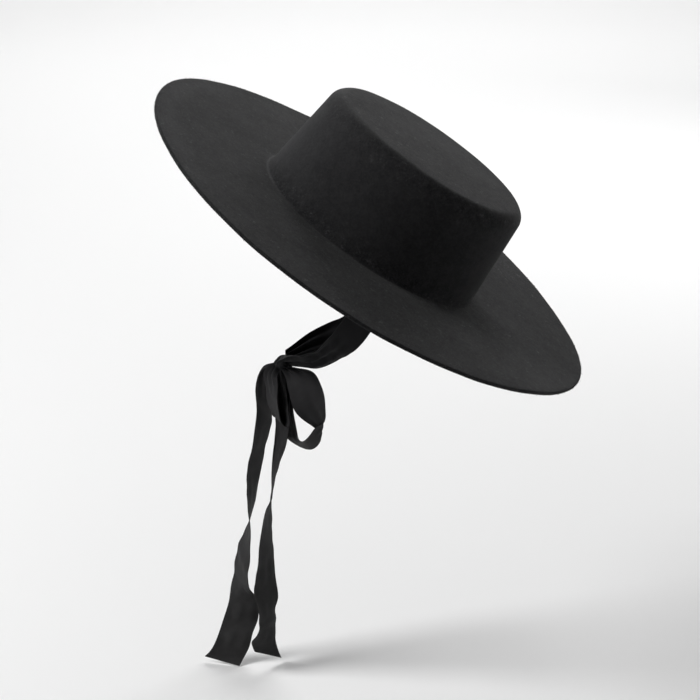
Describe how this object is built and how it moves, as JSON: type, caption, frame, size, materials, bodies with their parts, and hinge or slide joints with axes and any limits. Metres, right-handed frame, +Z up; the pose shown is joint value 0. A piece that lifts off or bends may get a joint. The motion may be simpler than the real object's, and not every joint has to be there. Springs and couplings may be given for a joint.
{
  "type": "wide-brim felt hat",
  "caption": "Flat-crowned felt hat with a wide stiff brim, worn tipped back, with ribbon chin ties knotted in a bow with long tails.",
  "frame": {"origin": "centre of the head opening, in the plane where crown and brim meet", "axes": "+Z is up as worn, -Y is the way the wearer looks, +X is the wearer's left. The hat is tipped back about X, so its own axis leans 33.7 degrees from +Z towards +Y."},
  "size_m": [0.3764, 0.3317, 0.4887],
  "materials": {
    "felt": "matte black felt with a short nap",
    "ribbon": "black ribbon with a slight sheen"
  },
  "bodies": {
    "root": {"hat_body": "felt", "tie_left": "ribbon", "tie_right": "ribbon", "loop_side": "ribbon", "loop_front": "ribbon", "tail_front": "ribbon", "tail_back": "ribbon", "bow_knot": "ribbon"}
  },
  "joints": []
}
